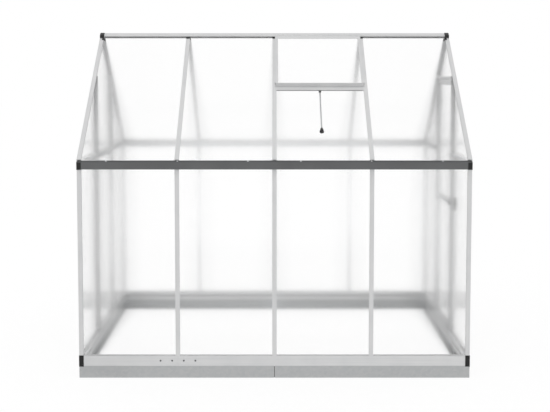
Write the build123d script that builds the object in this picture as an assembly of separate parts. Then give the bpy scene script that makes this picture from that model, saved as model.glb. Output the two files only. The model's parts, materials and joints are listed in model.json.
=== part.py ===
from build123d import *
from math import asin, cos, degrees, radians, sin, tan
import os

# A small garden greenhouse: aluminium bars that hold twin-wall panels in their grooves, on a
# folded steel base, with gutters at the eaves, a hinged door in the right gable and a hinged vent
# in the front slope. Sizes are in millimetres. The origin is on the ground in the middle of the
# plan. X runs along the ridge, Y from the front wall to the back wall, and Z is up.

# Layout
bay = 610.0              # from one stud line to the next: one standard panel
long_bays = 4            # bays along the front and back walls
end_bays = 3             # bays across a gable
eave_height = 1326.0     # ground to the underside of the eave beams
roof_lift = 64.0         # eave beam's underside to the roof's outer face, at the wall's face
roof_pitch = 41.0        # degrees
roof_drip = 6.0          # roof beyond the wall's face, down the slope

# Panels and the grooves that hold them
sheet = 4.0              # panel thickness
sheet_gap = 0.5          # panel to each lip of its groove
groove_depth = 9.0
edge_gap = 1.0           # panel edge to the bottom of its groove

# Aluminium bars
face = 28.0              # width that shows from outside
depth = 28.0             # outer face to inner face
flange = 2.0             # thickness of a lip
stem = 16.0              # width of the bolted leg behind the grooves
bolt_slot = 11.0         # width of the slot that holds a bolt's head
bolt_mouth = 6.6
slot_lip = 2.0
slot_height = 5.0
post_wall = 4.0          # round the hollow of a corner post

# Steel base
base_height = 77.0
base_flange = 30.0
base_sheet = 1.5
base_seam = 3.5          # gap between the two halves of a long side
base_splice_length = 120.0
base_angle_leg = 40.0
base_plate = 2.0         # thickness of the splice plates and corner angles
base_plate_gap = 1.0     # those plates to the channel's flanges
anchor_hole = 11.0
anchor_inset = 134.0     # gable face to the anchor holes

# Sill
sill_height = 66.0
sill_depth = 28.0
sill_lip = 29.0          # upturned inner edge at the bottom and downturned one at the top
sill_seam = 0.6
splice_reach = 130.0     # half the length of a sill splice
splice_height = 36.0
splice_sheet = 2.0
cap_tenon = 30.0         # corner cap's tongue inside the sill
tenon_gap = 0.4
cap_wall = 2.0           # corner cap outside the sill's faces
cap_skirt = 5.0          # corner cap over the base
cap_round = 4.0

# Eave beams and gutters
eave_wall = 2.5
eave_plug = 2.0          # plate of the plug in an eave beam's end
eave_plug_stub = 12.0
gutter_reach = 40.0      # wall face to the gutter's front
gutter_height = 48.0     # to the top of the front lip
gutter_back_rise = 4.0   # back wall above the front lip
gutter_sheet = 1.5
gutter_rise = 2.0        # gutter's bottom above the eave beam's underside
gutter_lip = 7.0
gutter_inset = 6.0       # gable face to the end cap's face
gutter_cap_wall = 2.0
gutter_cap_length = 27.0
gutter_cap_chamfer = 6.0

# Gable ties and door header
tie_rise = 24.0          # tie above the eave beam's underside
tie_height = 30.0
tie_leg = 18.0
tie_sheet = 2.0
header_gap = 12.0        # header to the corner between the jamb and the rafter

# Ridge
crown_half = 22.0        # half the width of the crown
crown_rise = 6.4         # crown's top above the line where the two slopes meet
crown_pitch = 28.0       # degrees
ridge_lip = 8.0          # crown's face to the end of the lips, down the slope
ridge_wall = 3.0
ridge_hollow = 14.0      # half the width of the ridge's hollow
bead = 7.0               # diameter of the hinge bead
bead_reach = 7.0         # crown's face to the bead's centre
bead_lift = 6.5          # bead's centre above the roof's outer face
bead_neck = 2.2
ridge_cap_wall = 2.0
ridge_cap_length = 29.0
ridge_cap_gap = 0.3      # cap above the roof's outer face
plug_length = 15.0       # black plugs at the rafters' tops
end_plug_length = 30.0   # black plugs in the grooves of the end rafters

# Roof vent
bays_before_vent = 2     # bays to the left of the vent
vent_length = 521.0      # hinge bead to the lower edge, down the slope
vent_overlap = 10.0      # vent's side rail on a rafter
vent_gap = 0.5           # vent above the roof's outer face
vent_rail = 20.0         # width of a side rail
vent_cover = 15.0        # hinge rail's outer lip beyond its inner lip
vent_bottom = 24.0       # width of the bottom rail
vent_nose = 20.0         # height of the bottom rail's lower face, out of the roof
vent_lean = 8.0          # how far that face leans back
vent_end_cut = 12.0      # bottom rail shorter at the top of that face, at each end
vent_opening = 45.0      # degrees
hook_wall = 1.7
hook_gap = 0.08
hook_margin = 8.0        # degrees, beside the bead's neck
crossbar_width = 55.0
vent_landing = 17.0      # vent's lower edge on the crossbar
crossbar_web = 4.0
crossbar_drop = 5.0      # crossbar's web below its lips
tab_gap = 0.5

# Vent stay
stay_length = 391.0      # pin to tip
stay_rod = 9.0
stay_eye = 13.0
stay_flat = 6.0          # thickness of the eye
stay_pin = 5.0
stay_drop = 10.0         # pin below the crossbar
pin_gap = 0.06
clip_ear = 3.0
clip_gap = 0.3
clip_half = 8.0
grip_length = 37.0
grip_neck = 15.0
grip_width = 30.0
grip_socket = 25.0
grip_bevel = 5.0
socket_gap = 0.05

# Door
door_gap = 3.0
door_depth = 20.0
door_wall = 2.0
door_lip = 8.0           # cover lip beyond the door's free edge
door_lip_sheet = 2.0
door_lip_gap = 0.3
door_lip_root = 15.0
mid_rail_height = 1020.0
hinge_height = 50.0
hinge_inset = 150.0      # door's top and bottom to the outer hinges
hinge_barrel = 10.0
hinge_pin = 5.0
hinge_stand = 0.5        # barrel off the door's face
hinge_leaf = 22.0
hinge_sheet = 2.0
leaf_gap = 1.5           # leaf to the other leaf's barrel
barrel_gap = 0.3
spindle = 8.0
latch_tongue = 36.0
tongue_width = 12.0
tongue_sheet = 4.0
tongue_gap = 0.5
handle_length = 90.0
handle_width = 20.0
handle_depth = 12.0
handle_stand = 10.0      # handle off the door's face
handle_boss = 16.0
boss_gap = 0.3

# Worked out from the sizes above
length = long_bays * bay + face
width = end_bays * bay + face
end_x = length / 2
side_y = width / 2
sill_top = base_height + sill_height
pitch = radians(roof_pitch)
peak = eave_height + roof_lift + side_y * tan(pitch)
groove = sheet + 2 * sheet_gap
lips = 2 * flange + groove           # both lips and the groove between them
core = face - groove_depth           # face of a corner or stile, less its groove
sheet_out = flange + sheet_gap       # outer face to the panel
sheet_in = sheet_out + sheet
bite = groove_depth - edge_gap       # how far a panel goes into a groove
long_lines = [bay * i - end_x + face / 2 for i in range(1, long_bays)]
end_lines = [bay * i - side_y + face / 2 for i in range(1, end_bays)]
eave_depth = core
roof_end = side_y / cos(pitch) + roof_drip
lip_end = crown_half / cos(pitch) + ridge_lip
lip_root = lip_end - groove_depth
bead_y = crown_half + bead_reach
bead_s = (bead_y - bead_lift * sin(pitch)) / cos(pitch)
hook = bead + 2 * (hook_gap + hook_wall)
vent_end = bead_s + vent_length
crossbar_top = vent_end - vent_landing
crossbar_end = crossbar_top + crossbar_width
crossbar_depth = lips + crossbar_drop
stay_s = crossbar_end - groove_depth - crossbar_web / 2
stay_depth = crossbar_depth + stay_drop
vent_left = long_lines[bays_before_vent - 1]
vent_right = long_lines[bays_before_vent]
rail_left = vent_left + face / 2 - vent_overlap      # outer edges of the vent
rail_right = vent_right - face / 2 + vent_overlap
vent_rail_start = bead_s + bead / 2 + hook_gap + groove_depth + vent_gap + flange
vent_rail_end = vent_end - vent_bottom
stay_x = (vent_left + vent_right) / 2
jamb_y = bay / 2
door_half = jamb_y - face / 2 - door_gap
header_top = peak - (jamb_y - face / 2) * tan(pitch) - depth / cos(pitch) - header_gap
header_bottom = header_top - face
door_bottom = sill_top + door_gap
door_top = header_bottom - door_gap


def slope(s, n):
    """(y, z) of a point on the front slope: s down from the peak line, n out of the roof."""
    return (-s * cos(pitch) - n * sin(pitch), peak - s * sin(pitch) + n * cos(pitch))


def roof_z(y, n):
    """Height, at y from the middle, of the plane that lies n out of the roof."""
    return peak - abs(y) * tan(pitch) + n / cos(pitch)


def roof_plane(s):
    """Square to the front slope at s: X to the right, Y out of the roof, Z down the slope."""
    return Plane(origin=(0, *slope(s, 0)), x_dir=(1, 0, 0), z_dir=(0, -cos(pitch), -sin(pitch)))


def x_plane(x):
    """Square to the ridge at x: drawn in (y, z) and drawn out towards +X."""
    return Plane(origin=(x, 0, 0), x_dir=(0, 1, 0), z_dir=(1, 0, 0))


def drawing(outline, hollow=None):
    """A flat section from its corner points, with a hollow if it has one."""
    section = make_face(Polyline(outline, close=True))
    if hollow:
        section -= make_face(Polyline(hollow, close=True))
    return section


def bar(section, plane, run):
    """A straight bar: a section drawn on a plane, drawn out square to it."""
    return extrude(plane * section, amount=run)


def block(low, high):
    """A box from its lowest corner to its highest."""
    size = [b - a for a, b in zip(low, high)]
    return Pos(*low) * Box(*size, align=(Align.MIN, Align.MIN, Align.MIN))


def turned(piece):
    """The same piece on the opposite side, half a turn about the upright axis."""
    return piece.rotate(Axis.Z, 180)


def mirrored(side):
    """A closed outline from its right-hand side."""
    return side + [(-x, y) for x, y in reversed(side)]


# Sections, drawn as (across, inwards from the outer face)

def stud_outline(bar_depth, slotted):
    """A stud, rafter or rail: a groove on each side, and a leg with a slot for bolt heads."""
    web = face / 2 - groove_depth
    side = [
        (face / 2, 0),
        (face / 2, flange),
        (web, flange),
        (web, flange + groove),
        (face / 2, flange + groove),
        (face / 2, lips),
        (stem / 2, lips),
        (stem / 2, bar_depth),
    ]
    if slotted:
        side += [
            (bolt_mouth / 2, bar_depth),
            (bolt_mouth / 2, bar_depth - slot_lip),
            (bolt_slot / 2, bar_depth - slot_lip),
            (bolt_slot / 2, bar_depth - slot_lip - slot_height),
        ]
    return mirrored(side)


def corner_outline():
    """A corner post or end rafter: two grooves at a right angle, from the outer corner."""
    one_side = [
        (face, 0),
        (face, flange),
        (core, flange),
        (core, flange + groove),
        (face, flange + groove),
        (face, lips),
        (core, lips),
    ]
    other_side = [(v, u) for u, v in reversed(one_side)]
    return [(0, 0)] + one_side + [(core, core)] + other_side


def corner_hollow():
    inner = core - post_wall
    return [(post_wall, post_wall), (inner, post_wall), (inner, inner), (post_wall, inner)]


def base_outline():
    """The folded channel of the base, open inwards, as (inwards, up)."""
    return [
        (0, 0),
        (base_flange, 0),
        (base_flange, base_sheet),
        (base_sheet, base_sheet),
        (base_sheet, base_height - base_sheet),
        (base_flange, base_height - base_sheet),
        (base_flange, base_height),
        (0, base_height),
    ]


def sill_outline():
    """The sill's channel with the panel groove in its top, as (inwards, up)."""
    top = sill_height
    floor = top - groove_depth
    inner = sill_depth - flange
    return [
        (0, 0),
        (sill_depth, 0),
        (sill_depth, sill_lip),
        (inner, sill_lip),
        (inner, flange),
        (flange, flange),
        (flange, floor - flange),
        (lips, floor - flange),
        (lips, top - flange),
        (inner, top - flange),
        (inner, top - sill_lip),
        (sill_depth, top - sill_lip),
        (sill_depth, top),
        (flange + groove, top),
        (flange + groove, floor),
        (flange, floor),
        (flange, top),
        (0, top),
    ]


def stile_outline():
    """A door stile or end rail: a hollow box with a groove, from the door's edge."""
    return [
        (0, 0),
        (face, 0),
        (face, flange),
        (core, flange),
        (core, flange + groove),
        (face, flange + groove),
        (face, lips),
        (core, lips),
        (core, door_depth),
        (0, door_depth),
    ]


def stile_hollow():
    inner = core - door_wall
    back = door_depth - door_wall
    return [(door_wall, lips), (inner, lips), (inner, back), (door_wall, back)]


# Steel base

def base_side(left, right):
    """Part of the front channel between two places on X, mitred where it reaches a corner."""
    outline = [(d - side_y, z) for d, z in base_outline()]
    run = bar(drawing(outline), x_plane(-end_x), length)
    inner_left = max(left, base_flange - end_x)
    inner_right = min(right, end_x - base_flange)
    plan = [
        (left, -side_y),
        (right, -side_y),
        (inner_right, base_flange - side_y),
        (inner_left, base_flange - side_y),
    ]
    channel = run & extrude(drawing(plan), amount=base_height)
    for x in (anchor_inset - end_x, end_x - anchor_inset):
        hole = Pos(x, base_flange / 2 - side_y, 0) * Cylinder(anchor_hole / 2, 4 * base_sheet)
        channel -= hole
    return channel


def base_end():
    """The left end's channel, mitred at both corners."""
    outline = [(d - end_x, z) for d, z in base_outline()]
    along = Plane(origin=(0, side_y, 0), x_dir=(1, 0, 0), z_dir=(0, -1, 0))
    run = bar(drawing(outline), along, width)
    plan = [
        (-end_x, -side_y),
        (base_flange - end_x, base_flange - side_y),
        (base_flange - end_x, side_y - base_flange),
        (-end_x, side_y),
    ]
    return run & extrude(drawing(plan), amount=base_height)


def base_splice():
    """The plate behind the seam in the front channel."""
    edge = base_sheet + base_plate_gap
    low = (-base_splice_length / 2, base_sheet - side_y, edge)
    high = (base_splice_length / 2, base_sheet + base_plate - side_y, base_height - edge)
    return block(low, high)


def base_angle():
    """The bent plate inside the front left corner."""
    plan = [
        (0, 0),
        (base_angle_leg, 0),
        (base_angle_leg, base_plate),
        (base_plate, base_plate),
        (base_plate, base_angle_leg),
        (0, base_angle_leg),
    ]
    edge = base_sheet + base_plate_gap
    corner = Pos(base_sheet - end_x, base_sheet - side_y, edge)
    return corner * extrude(drawing(plan), amount=base_height - 2 * edge)


# Sill

def sill_side(left, right):
    """Part of the front sill between two places on X."""
    outline = [(d - side_y, base_height + z) for d, z in sill_outline()]
    return bar(drawing(outline), x_plane(left), right - left)


def sill_end():
    """The left end's sill, between the corner caps."""
    outline = [(d - end_x, base_height + z) for d, z in sill_outline()]
    clear = side_y - sill_depth
    along = Plane(origin=(0, clear, 0), x_dir=(1, 0, 0), z_dir=(0, -1, 0))
    return bar(drawing(outline), along, 2 * clear)


def sill_splice():
    """The plate inside the front sill, behind its seam."""
    middle = base_height + sill_height / 2
    low = (long_lines[0] - splice_reach, flange - side_y, middle - splice_height / 2)
    high = (long_lines[0] + splice_reach, flange + splice_sheet - side_y, middle + splice_height / 2)
    return block(low, high)


def sill_cap():
    """The black corner cap at the front left: a block, two tongues and the panel grooves."""
    cap = block((-cap_wall, -cap_wall, -cap_skirt), (sill_depth, sill_depth, sill_height))
    outer_edge = cap.edges().filter_by(Axis.Z).sort_by(lambda edge: edge.center().X + edge.center().Y)[0]
    cap = fillet(outer_edge, cap_round)
    cap -= block((0, 0, -cap_skirt), (sill_depth, sill_depth, 0))
    inner = flange + tenon_gap
    reach = sill_depth - flange - tenon_gap
    top = sill_height - groove_depth - flange - tenon_gap
    cap += block((sill_depth, inner, inner), (sill_depth + cap_tenon, reach, top))
    cap += block((inner, sill_depth, inner), (reach, sill_depth + cap_tenon, top))
    floor = sill_height - groove_depth
    cap -= block((core, flange, floor), (sill_depth, flange + groove, sill_height))
    cap -= block((flange, core, floor), (flange + groove, sill_depth, sill_height))
    return Pos(-end_x, -side_y, base_height) * cap


# Posts, studs and jambs

def corner_post():
    """The front left corner post, from the sill to the eave beam."""
    foot = Plane(origin=(-end_x, -side_y, sill_top))
    return bar(drawing(corner_outline(), corner_hollow()), foot, eave_height - sill_top)


def wall_stud(x):
    """A stud in the front wall, from the sill to the eave beam."""
    foot = Plane(origin=(x, -side_y, sill_top))
    return bar(drawing(stud_outline(depth, True)), foot, eave_height - sill_top)


def gable_stud(y):
    """A stud in the left gable, cut to the slope of the end rafters."""
    foot = Plane(origin=(-end_x, y, sill_top), x_dir=(0, -1, 0), z_dir=(0, 0, 1))
    stud = bar(drawing(stud_outline(depth, True)), foot, peak - sill_top)
    above = [
        (-side_y, roof_z(side_y, -depth)),
        (0, roof_z(0, -depth)),
        (side_y, roof_z(side_y, -depth)),
        (side_y, 2 * peak),
        (-side_y, 2 * peak),
    ]
    return stud - bar(drawing(above), x_plane(-end_x), length)


# Eave beams and gutters

eave_top = roof_z(side_y, -flange - groove)      # just under the panels, at the wall's face


def eave_outline():
    root = eave_height + groove_depth
    return [
        (-side_y, eave_height),
        (flange - side_y, eave_height),
        (flange - side_y, root),
        (flange + groove - side_y, root),
        (flange + groove - side_y, eave_height),
        (eave_depth - side_y, eave_height),
        (eave_depth - side_y, eave_top),
        (-side_y, eave_top),
    ]


def eave_hollow(gap):
    """The hollow of the eave beam, or the stub that fits it with a gap all round."""
    near = eave_wall + gap - side_y
    far = eave_depth - eave_wall - gap - side_y
    floor = eave_height + groove_depth + eave_wall + gap
    ceiling = eave_top - eave_wall - gap
    return [(near, floor), (far, floor), (far, ceiling), (near, ceiling)]


def eave_beam():
    """The front eave beam: a hollow bar with the wall panels' groove in its underside."""
    section = drawing(eave_outline(), eave_hollow(0))
    return bar(section, x_plane(eave_plug - end_x), length - 2 * eave_plug)


def eave_end_plug():
    """The black plug in the front eave beam's left end."""
    plate = [
        (-side_y, eave_height),
        (eave_depth - side_y, eave_height),
        (eave_depth - side_y, eave_top),
        (-side_y, eave_top),
    ]
    plug = bar(drawing(plate), x_plane(-end_x), eave_plug)
    return plug + bar(drawing(eave_hollow(tenon_gap)), x_plane(-end_x), eave_plug + eave_plug_stub)


gutter_bottom = eave_height + gutter_rise
gutter_top = gutter_bottom + gutter_height
gutter_back = gutter_top + gutter_back_rise
gutter_front = -side_y - gutter_reach
gutter_end = end_x - gutter_inset - gutter_cap_wall


def gutter():
    """The front gutter: a trough with a rolled lip along its front."""
    t = gutter_sheet
    outline = [
        (-side_y, gutter_bottom),
        (-side_y, gutter_back),
        (-side_y - t, gutter_back),
        (-side_y - t, gutter_bottom + t),
        (gutter_front + t, gutter_bottom + t),
        (gutter_front + t, gutter_top - t),
        (gutter_front + gutter_lip, gutter_top - t),
        (gutter_front + gutter_lip, gutter_top),
        (gutter_front, gutter_top),
        (gutter_front, gutter_bottom),
    ]
    return bar(drawing(outline), x_plane(-gutter_end), 2 * gutter_end)


def gutter_cap():
    """The black cap on the front gutter's left end: an end plate and a sleeve round the outside."""
    w = gutter_cap_wall
    low = gutter_bottom - w
    out = gutter_front - w
    plate = [
        (-side_y, low),
        (out, low),
        (out, gutter_top - gutter_cap_chamfer),
        (out + gutter_cap_chamfer, gutter_top),
        (out + gutter_reach / 2, gutter_top),
        (-side_y, gutter_back),
    ]
    sleeve = [
        (-side_y, low),
        (out, low),
        (out, gutter_top - gutter_cap_chamfer),
        (gutter_front, gutter_top - gutter_cap_chamfer + w),
        (gutter_front, gutter_bottom),
        (-side_y, gutter_bottom),
    ]
    start = x_plane(-gutter_end - w)
    return bar(drawing(plate), start, w) + bar(drawing(sleeve), start, gutter_cap_length)


# Gable ties and door header

def tie_outline():
    """The bent angle of a gable tie, as (inwards, up)."""
    return [
        (0, 0),
        (tie_leg, 0),
        (tie_leg, tie_sheet),
        (tie_sheet, tie_sheet),
        (tie_sheet, tie_height),
        (0, tie_height),
    ]


def gable_tie(front, back):
    """A tie on the inner faces of the left gable's studs, between two places on Y."""
    outline = [(depth - end_x + d, eave_height + tie_rise + z) for d, z in tie_outline()]
    along = Plane(origin=(0, back, 0), x_dir=(1, 0, 0), z_dir=(0, -1, 0))
    return bar(drawing(outline), along, back - front)


def door_header():
    half = jamb_y - face / 2
    along = Plane(origin=(end_x, -half, header_top - face / 2), x_dir=(0, 0, -1), z_dir=(0, 1, 0))
    return bar(drawing(stud_outline(depth, True)), along, 2 * half)


# Ridge

def ridge_section():
    """Crown, hinge beads and the lips that hold the roof panels' top edges, as (y, z)."""
    shoulder = peak + crown_rise - crown_half * tan(radians(crown_pitch))
    underside = slope(lip_root, -lips)[1]
    front = [
        (0, peak + crown_rise),
        (-crown_half, shoulder),
        slope(crown_half / cos(pitch), 0),
        slope(lip_end, 0),
        slope(lip_end, -flange),
        slope(lip_root, -flange),
        slope(lip_root, -flange - groove),
        slope(lip_end, -flange - groove),
        slope(lip_end, -lips),
        slope(lip_root, -lips),
        (0, underside),
    ]
    half = drawing(front)
    y, z = slope(bead_s, bead_lift)
    half += Pos(y, z) * Circle(bead / 2)
    half += Pos(y / 2, z) * Rectangle(abs(y), bead_neck)
    whole = half + mirror(half, about=Plane.YZ)
    roof = peak + crown_rise - ridge_wall / cos(radians(crown_pitch))
    side = roof - ridge_hollow * tan(radians(crown_pitch))
    hollow = [
        (0, roof),
        (-ridge_hollow, side),
        (-ridge_hollow, underside + ridge_wall),
        (ridge_hollow, underside + ridge_wall),
        (ridge_hollow, side),
    ]
    return whole - drawing(hollow)


def ridge_beam():
    return bar(ridge_section(), x_plane(ridge_cap_wall - end_x), length - 2 * ridge_cap_wall)


def ridge_end_cap():
    """The black cap on the ridge's left end: a hood over the crown and a plate on its end."""
    w = ridge_cap_wall
    shoulder = peak + crown_rise - crown_half * tan(radians(crown_pitch))
    side = bead_y + bead / 2 + w
    top = [
        (0, peak + crown_rise + w),
        (crown_half + w, shoulder + w),
        (side, slope(bead_s, bead_lift)[1] + bead / 2 + w),
        (side, roof_z(side, ridge_cap_gap)),
    ]
    lip_y, lip_z = slope(lip_end, 0)
    low_y, low_z = slope(lip_end, -lips)
    root_y, root_z = slope(lip_root, -lips)
    plate = top + [(-lip_y, lip_z), (-low_y, low_z), (-root_y, root_z)]
    hood = top + [(0, roof_z(0, ridge_cap_gap))]
    end = bar(drawing(mirrored(plate)), x_plane(-end_x), w)
    cover = bar(drawing(hood) + mirror(drawing(hood), about=Plane.YZ), x_plane(-end_x), ridge_cap_length)
    bore = ridge_section() + drawing([
        (crown_half, shoulder),
        (-crown_half, shoulder),
        slope(crown_half / cos(pitch), 0),
        (0, peak - crown_half * tan(pitch)),
        (crown_half, roof_z(crown_half, 0)),
    ])
    bead_z = slope(bead_s, bead_lift)[1]
    for y in (-bead_y, bead_y):
        bore += Pos(y, bead_z) * Circle(bead / 2 + ridge_cap_gap)
    return end + (cover - bar(bore, x_plane(w - end_x), ridge_cap_length))


# Rafters and their plugs

def eave_notch():
    """What the rafters lose where they sit on the front eave beam."""
    return block((-length, -side_y - gutter_reach, 0), (length, eave_depth - side_y, eave_top))


def rafter(x):
    """A rafter of the front slope, from its plug to the eave."""
    start = lip_end + plug_length
    section = drawing([(x + a, -d) for a, d in stud_outline(depth, True)])
    return bar(section, roof_plane(start), roof_end - start) - eave_notch()


def rafter_plug(x):
    section = drawing([(x + a, -d) for a, d in stud_outline(depth, False)])
    return bar(section, roof_plane(lip_end), plug_length)


def end_rafter():
    """The front rafter of the left gable: a groove for the roof and one for the gable."""
    outline = [(u - end_x, -v) for u, v in corner_outline()]
    hollow = [(u - end_x, -v) for u, v in corner_hollow()]
    rafter_bar = bar(drawing(outline, hollow), roof_plane(lip_end), roof_end - lip_end)
    room = [
        (core - flange - end_x, 0),
        (face - end_x, 0),
        (face - end_x, -lips),
        (core - flange - end_x, -lips),
    ]
    return rafter_bar - bar(drawing(room), roof_plane(lip_end), end_plug_length) - eave_notch()


def end_rafter_plug():
    """The black plug that takes the place of the end rafter's roof groove at its top."""
    section = [
        (core - flange, 0),
        (face, 0),
        (face, flange),
        (core, flange),
        (core, flange + groove),
        (face, flange + groove),
        (face, lips),
        (core - flange, lips),
    ]
    return bar(drawing([(u - end_x, -v) for u, v in section]), roof_plane(lip_end), end_plug_length)


# Panels

def wall_panel(left):
    """A panel of the front wall, from the line on its left to the next."""
    web = face / 2 - groove_depth + edge_gap
    low = (left + web, sheet_out - side_y, sill_top - bite)
    high = (left + bay - web, sheet_in - side_y, eave_height + bite)
    return block(low, high)


def roof_panel(left, start):
    """A panel of the front slope, from s = start to the eave."""
    web = face / 2 - groove_depth + edge_gap
    outline = [
        (left + web, -sheet_out),
        (left + bay - web, -sheet_out),
        (left + bay - web, -sheet_in),
        (left + web, -sheet_in),
    ]
    return bar(drawing(outline), roof_plane(start), roof_end - start)


panel_edge = -core - edge_gap            # a gable panel's edge below the roof's outer face
ridge_underside = slope(lip_root, -lips)[1] - edge_gap


def gable_sheet(outline):
    """A panel of the left gable, drawn as (y, z)."""
    return bar(drawing(outline), x_plane(sheet_out - end_x), sheet)


def gable_side_panel():
    """The front panel of the left gable."""
    corner = core + edge_gap - side_y
    inner = end_lines[0] - face / 2 + bite
    foot = sill_top - bite
    return gable_sheet([
        (corner, foot),
        (inner, foot),
        (inner, roof_z(inner, panel_edge)),
        (corner, roof_z(corner, panel_edge)),
    ])


def gable_middle_panel(foot):
    """The panel between the gable's two middle studs, from a given height up to the ridge."""
    half = jamb_y - face / 2 + bite
    top = min(ridge_underside, roof_z(0, panel_edge))
    top_half = (roof_z(0, panel_edge) - top) / tan(pitch) + edge_gap
    return gable_sheet(mirrored([
        (half, foot),
        (half, roof_z(half, panel_edge)),
        (top_half, roof_z(top_half, panel_edge)),
    ]))


# Roof vent

def vent_hinge_rail():
    """The vent's top rail: a hook that turns on the ridge's bead, and the panel's groove."""
    y, z = slope(bead_s, bead_lift)
    root = bead_s + bead / 2 + hook_gap
    end = vent_rail_start
    low = vent_gap
    rail = drawing([
        slope(root, low),
        slope(end, low),
        slope(end, low + flange),
        slope(end - groove_depth, low + flange),
        slope(end - groove_depth, low + flange + groove),
        slope(end + vent_cover, low + flange + groove),
        slope(end + vent_cover, low + lips),
        slope(root, low + lips),
    ])
    neck_angle = degrees(asin(bead_neck / bead)) + hook_margin
    far = 3 * hook
    mouth = [(0, 0)]
    for angle in (-neck_angle, vent_opening / 2, vent_opening + neck_angle):
        mouth.append((far * cos(radians(angle)), far * sin(radians(angle))))
    bore = Pos(y, z) * (Circle(bead / 2 + hook_gap) + drawing(mouth))
    ring = Pos(y, z) * Circle(hook / 2) - bore
    between = rail_right - rail_left - 2 * vent_rail
    hinge = bar(ring, x_plane(rail_left), rail_right - rail_left)
    return hinge + bar(rail - bore, x_plane(rail_left + vent_rail), between)


def vent_side_rail():
    """The vent's left side rail, with the panel's groove towards the middle."""
    inner = rail_left + vent_rail
    root = inner - groove_depth
    start = bead_s + hook / 2 + vent_gap
    low = vent_gap
    outline = [
        (rail_left, low),
        (inner, low),
        (inner, low + flange),
        (root, low + flange),
        (root, low + flange + groove),
        (inner, low + flange + groove),
        (inner, low + lips),
        (rail_left, low + lips),
    ]
    return bar(drawing(outline), roof_plane(start), vent_rail_end - start)


def vent_bottom_rail():
    """The vent's lower rail: a tall lower face, a level top, and the panel's groove behind them."""
    low = vent_gap
    lip = vent_gap + lips
    top = vent_gap + vent_nose
    root = vent_rail_end + groove_depth
    crest = vent_end - vent_lean
    brow = crest - (top - lip) / tan(pitch)
    outline = [
        slope(vent_rail_end, low),
        slope(vent_end, low),
        slope(crest, top),
        slope(brow, lip),
        slope(vent_rail_end, lip),
        slope(vent_rail_end, lip - flange),
        slope(root, lip - flange),
        slope(root, low + flange),
        slope(vent_rail_end, low + flange),
    ]
    near = root + flange
    far = crest - flange
    level = lip - flange / cos(pitch)        # the hollow's top, under the brow
    hollow = [
        slope(near, low + flange),
        slope(vent_end - 2 * flange, low + flange),
        slope(far, level + (far - brow) * tan(pitch)),
        slope(near, level + (near - brow) * tan(pitch)),
    ]
    ends = [
        (rail_left, low),
        (rail_right, low),
        (rail_right - vent_end_cut, top),
        (rail_left + vent_end_cut, top),
    ]
    rail = bar(drawing(outline, hollow), x_plane(rail_left), rail_right - rail_left)
    return rail & bar(drawing(ends), roof_plane(vent_rail_end), vent_bottom)


def vent_panel():
    edge = vent_rail - bite
    low = vent_gap + sheet_out
    outline = [
        (rail_left + edge, low),
        (rail_right - edge, low),
        (rail_right - edge, low + sheet),
        (rail_left + edge, low + sheet),
    ]
    start = vent_rail_start - bite
    return bar(drawing(outline), roof_plane(start), vent_rail_end + bite - start)


def across_vent(piece):
    """The same piece on the vent's other side."""
    return mirror(piece, about=Plane(origin=(stay_x, 0, 0), z_dir=(1, 0, 0)))


def vent_crossbar():
    """The fixed bar under the vent's lower edge, bolted to the rafters' legs by its end tabs."""
    root = crossbar_end - groove_depth
    outline = [
        slope(crossbar_top, 0),
        slope(crossbar_end, 0),
        slope(crossbar_end, -flange),
        slope(root, -flange),
        slope(root, -flange - groove),
        slope(crossbar_end, -flange - groove),
        slope(crossbar_end, -lips),
        slope(root, -lips),
        slope(root, -crossbar_depth),
        slope(root - crossbar_web, -crossbar_depth),
        slope(root - crossbar_web, -flange),
        slope(crossbar_top, -flange),
    ]
    tab = [
        slope(root, -lips - tab_gap),
        slope(root, -crossbar_depth),
        slope(root - crossbar_web, -crossbar_depth),
        slope(root - crossbar_web, -lips - tab_gap),
    ]
    left = vent_left + face / 2
    tab_left = vent_left + stem / 2
    beam = bar(drawing(outline), x_plane(left), vent_right - face / 2 - left)
    return beam + bar(drawing(tab), x_plane(tab_left), vent_right - stem / 2 - tab_left)


# Vent stay

def stay_clip():
    """The black clip under the crossbar: two ears, the pin between them and a bridge."""
    y, z = slope(stay_s, -stay_depth)
    inner = stay_rod / 2 + clip_gap
    ear = drawing([
        slope(stay_s - clip_half, -crossbar_depth),
        slope(stay_s + clip_half, -crossbar_depth),
        slope(stay_s + clip_half, -stay_depth),
        slope(stay_s - clip_half, -stay_depth),
    ])
    ear += Pos(y, z) * Circle(clip_half)
    clip = bar(ear, x_plane(stay_x - inner - clip_ear), clip_ear)
    clip += bar(ear, x_plane(stay_x + inner), clip_ear)
    bridge_depth = stay_depth - stay_eye / 2 - clip_gap
    bridge = drawing([
        slope(stay_s - clip_half, -crossbar_depth),
        slope(stay_s + clip_half, -crossbar_depth),
        slope(stay_s + clip_half, -bridge_depth),
        slope(stay_s - clip_half, -bridge_depth),
    ])
    clip += bar(bridge, x_plane(stay_x - inner), 2 * inner)
    clip += bar(Pos(y, z) * Circle(stay_pin / 2), x_plane(stay_x - inner), 2 * inner)
    return clip


def stay_axis(s):
    """A place on the stay: X to the right, Y out of the roof, Z down the slope."""
    y, z = slope(s, -stay_depth)
    return Plane(origin=(stay_x, y, z), x_dir=(1, 0, 0), z_dir=(0, -cos(pitch), -sin(pitch)))


def stay_arm():
    """The rod and the eye at its top, which turns on the clip's pin."""
    y, z = slope(stay_s, -stay_depth)
    end = stay_s + stay_length - grip_length + grip_socket
    arm = bar(Circle(stay_rod / 2), stay_axis(stay_s), end - stay_s)
    arm += bar(Pos(y, z) * Circle(stay_eye / 2), x_plane(stay_x - stay_flat / 2), stay_flat)
    hole = Pos(y, z) * Circle(stay_pin / 2 + pin_gap)
    return arm - bar(hole, x_plane(stay_x - stay_rod), 2 * stay_rod)


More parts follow.
